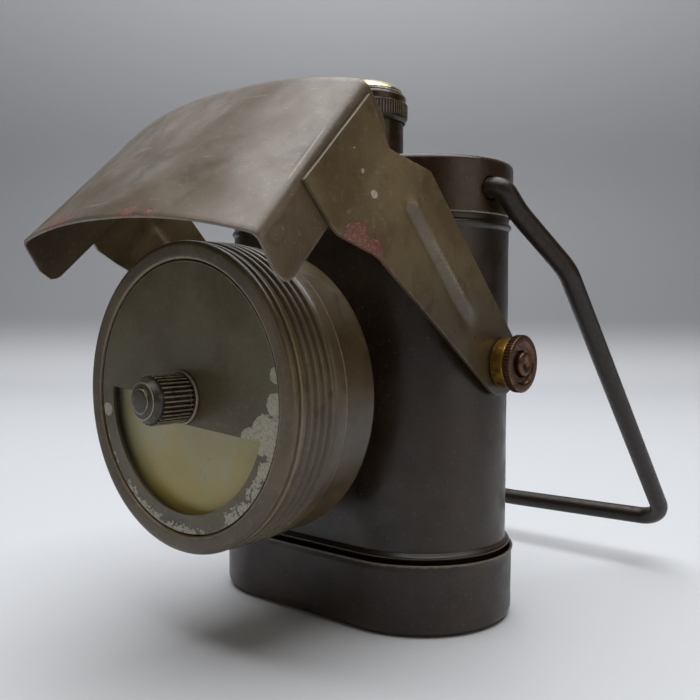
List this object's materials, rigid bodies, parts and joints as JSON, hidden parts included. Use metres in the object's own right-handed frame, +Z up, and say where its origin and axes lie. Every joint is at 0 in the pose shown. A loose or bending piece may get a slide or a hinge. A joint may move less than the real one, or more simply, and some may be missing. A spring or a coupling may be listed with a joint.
{
  "type": "hand-held carbide lamp",
  "caption": "Hand-held lamp with an oval generator body, round front with a turning shutter and fluted knob, tilting hood and wire bail.",
  "frame": {"origin": "centre of the flat underside of the base pan, at the height the lamp stands on", "axes": "+Z up, -Y the way the lens looks, X along the body's long axis and along the axis of hood and handle"},
  "size_m": [0.1288, 0.1893, 0.1605],
  "materials": {
    "paint": "thin olive-brown paint, worn and stained, satin",
    "rubber": "matte black",
    "zinc": "dull galvanised sheet",
    "felt": "grey felt",
    "steel": "plain darkened steel",
    "brass": "aged ochre brass",
    "bronze": "dark browned brass with a fine knurl",
    "nickel": "nickel plate, slightly yellowed",
    "glass": "frosted, yellow-green",
    "knob": "dark paint worn off the flutes",
    "steatite": "fired steatite, stone-like",
    "rod": "dark brown steel rod, mottled"
  },
  "bodies": {
    "base": {"base_pan": "paint", "base_gasket": "rubber", "carbide_pot": "zinc", "carbide_grid": "zinc", "felt_filter": "felt", "grid_spring": "steel"},
    "lamp_body": {"body_shell": "paint", "tank_lid": "zinc", "tank_floor": "zinc", "top_cap": "paint", "drip_tube": "brass", "filler_neck": "paint", "spindle_guide": "brass", "gas_pipe": "brass", "burner_holder": "brass", "burner_tip": "steatite", "reflector": "nickel", "drum_neck": "paint", "drum_shell": "paint", "pivot_stud_left": "steel", "pivot_stud_right": "steel", "stud_pad_left": "paint", "stud_pad_right": "paint"},
    "valve_stem": {"valve_spindle": "brass"},
    "regulator": {"regulator_cap": "paint", "regulator_dome": "nickel"},
    "glass_pack": {"lens_glass": "glass", "mask_plate": "paint", "glass_seal_front": "rubber", "glass_seal_rear": "rubber"},
    "front_ring": {"bezel": "paint"},
    "shutter": {"shutter_disc": "paint", "shutter_knob": "knob", "knob_collar": "paint", "shutter_spindle": "steel"},
    "visor": {"hood": "paint", "hood_arm_left": "paint", "hood_arm_right": "paint"},
    "collar_right": {"pivot_collar_right": "brass"},
    "nut_right": {"thumb_nut_right": "bronze"},
    "collar_left": {"pivot_collar_left": "brass"},
    "nut_left": {"thumb_nut_left": "bronze"},
    "handle": {"bail_handle": "rod"}
  },
  "joints": [
    {"name": "body_lift", "type": "slide", "parent": "base", "child": "lamp_body", "axis": [0, 0, 1], "range_m": [0, 0.06]},
    {"name": "valve_lift", "type": "slide", "parent": "lamp_body", "child": "valve_stem", "axis": [0, 0, 1], "range_m": [0, 0.0025]},
    {"name": "regulator_turn", "type": "hinge", "parent": "valve_stem", "child": "regulator", "pos_m": [0, 0, 0.152], "axis": [0, 0, 1], "range_deg": [0, 720]},
    {"name": "glass_slide", "type": "slide", "parent": "lamp_body", "child": "glass_pack", "axis": [0, -1, 0], "range_m": [0, 0.00375]},
    {"name": "bezel_turn", "type": "hinge", "parent": "glass_pack", "child": "front_ring", "pos_m": [0, -0.063, 0.0674], "axis": [0, -1, 0], "range_deg": [0, 540]},
    {"name": "shutter_turn", "type": "hinge", "parent": "glass_pack", "child": "shutter", "pos_m": [0, -0.072, 0.0674], "axis": [0, -1, 0], "range_deg": [0, 180]},
    {"name": "hood_tilt", "type": "hinge", "parent": "lamp_body", "child": "visor", "pos_m": [0, 0, 0.0753], "axis": [1, 0, 0], "range_deg": [-22, 60]},
    {"name": "collar_right_slide", "type": "slide", "parent": "lamp_body", "child": "collar_right", "axis": [1, 0, 0], "range_m": [0, 0.0007504]},
    {"name": "nut_right_turn", "type": "hinge", "parent": "collar_right", "child": "nut_right", "pos_m": [0.0558, 0, 0.0753], "axis": [1, 0, 0], "range_deg": [0, 270]},
    {"name": "collar_left_slide", "type": "slide", "parent": "lamp_body", "child": "collar_left", "axis": [-1, 0, 0], "range_m": [0, 0.0007504]},
    {"name": "nut_left_turn", "type": "hinge", "parent": "collar_left", "child": "nut_left", "pos_m": [-0.0558, 0, 0.0753], "axis": [-1, 0, 0], "range_deg": [0, 270]},
    {"name": "handle_swing", "type": "hinge", "parent": "lamp_body", "child": "handle", "pos_m": [0, -0.004, 0.1235], "axis": [1, 0, 0], "range_deg": [-6, 280]}
  ],
  "couplings": [
    {"joint": "valve_lift", "follows": "regulator_turn", "m_per_rad": 0.00019894},
    {"joint": "glass_slide", "follows": "bezel_turn", "m_per_rad": 0.00039789},
    {"joint": "collar_right_slide", "follows": "nut_right_turn", "m_per_rad": 0.00015915},
    {"joint": "collar_left_slide", "follows": "nut_left_turn", "m_per_rad": 0.00015915}
  ]
}
